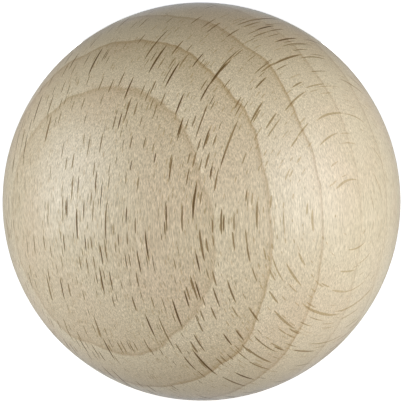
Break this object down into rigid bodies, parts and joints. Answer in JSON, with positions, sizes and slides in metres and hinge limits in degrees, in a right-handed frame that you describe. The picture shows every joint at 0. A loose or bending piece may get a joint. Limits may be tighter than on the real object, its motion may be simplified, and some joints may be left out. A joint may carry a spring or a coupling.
{
  "type": "croquet ball",
  "caption": "Solid round wooden croquet ball, turned in one piece from bare beech, struck with a mallet and played through hoops.",
  "frame": {"origin": "centre of the ball", "axes": "+Z along the wood's fibres, to within 2.1 degrees, with one end grain up; X and Y lie across the grain, and the tree's pith was on the -Y side, towards -X"},
  "size_m": [0.06, 0.06, 0.06],
  "materials": {
    "beech": "turned and sanded bare beech with no paint, stripe or lacquer"
  },
  "bodies": {
    "root": {"ball": "beech"}
  },
  "joints": []
}
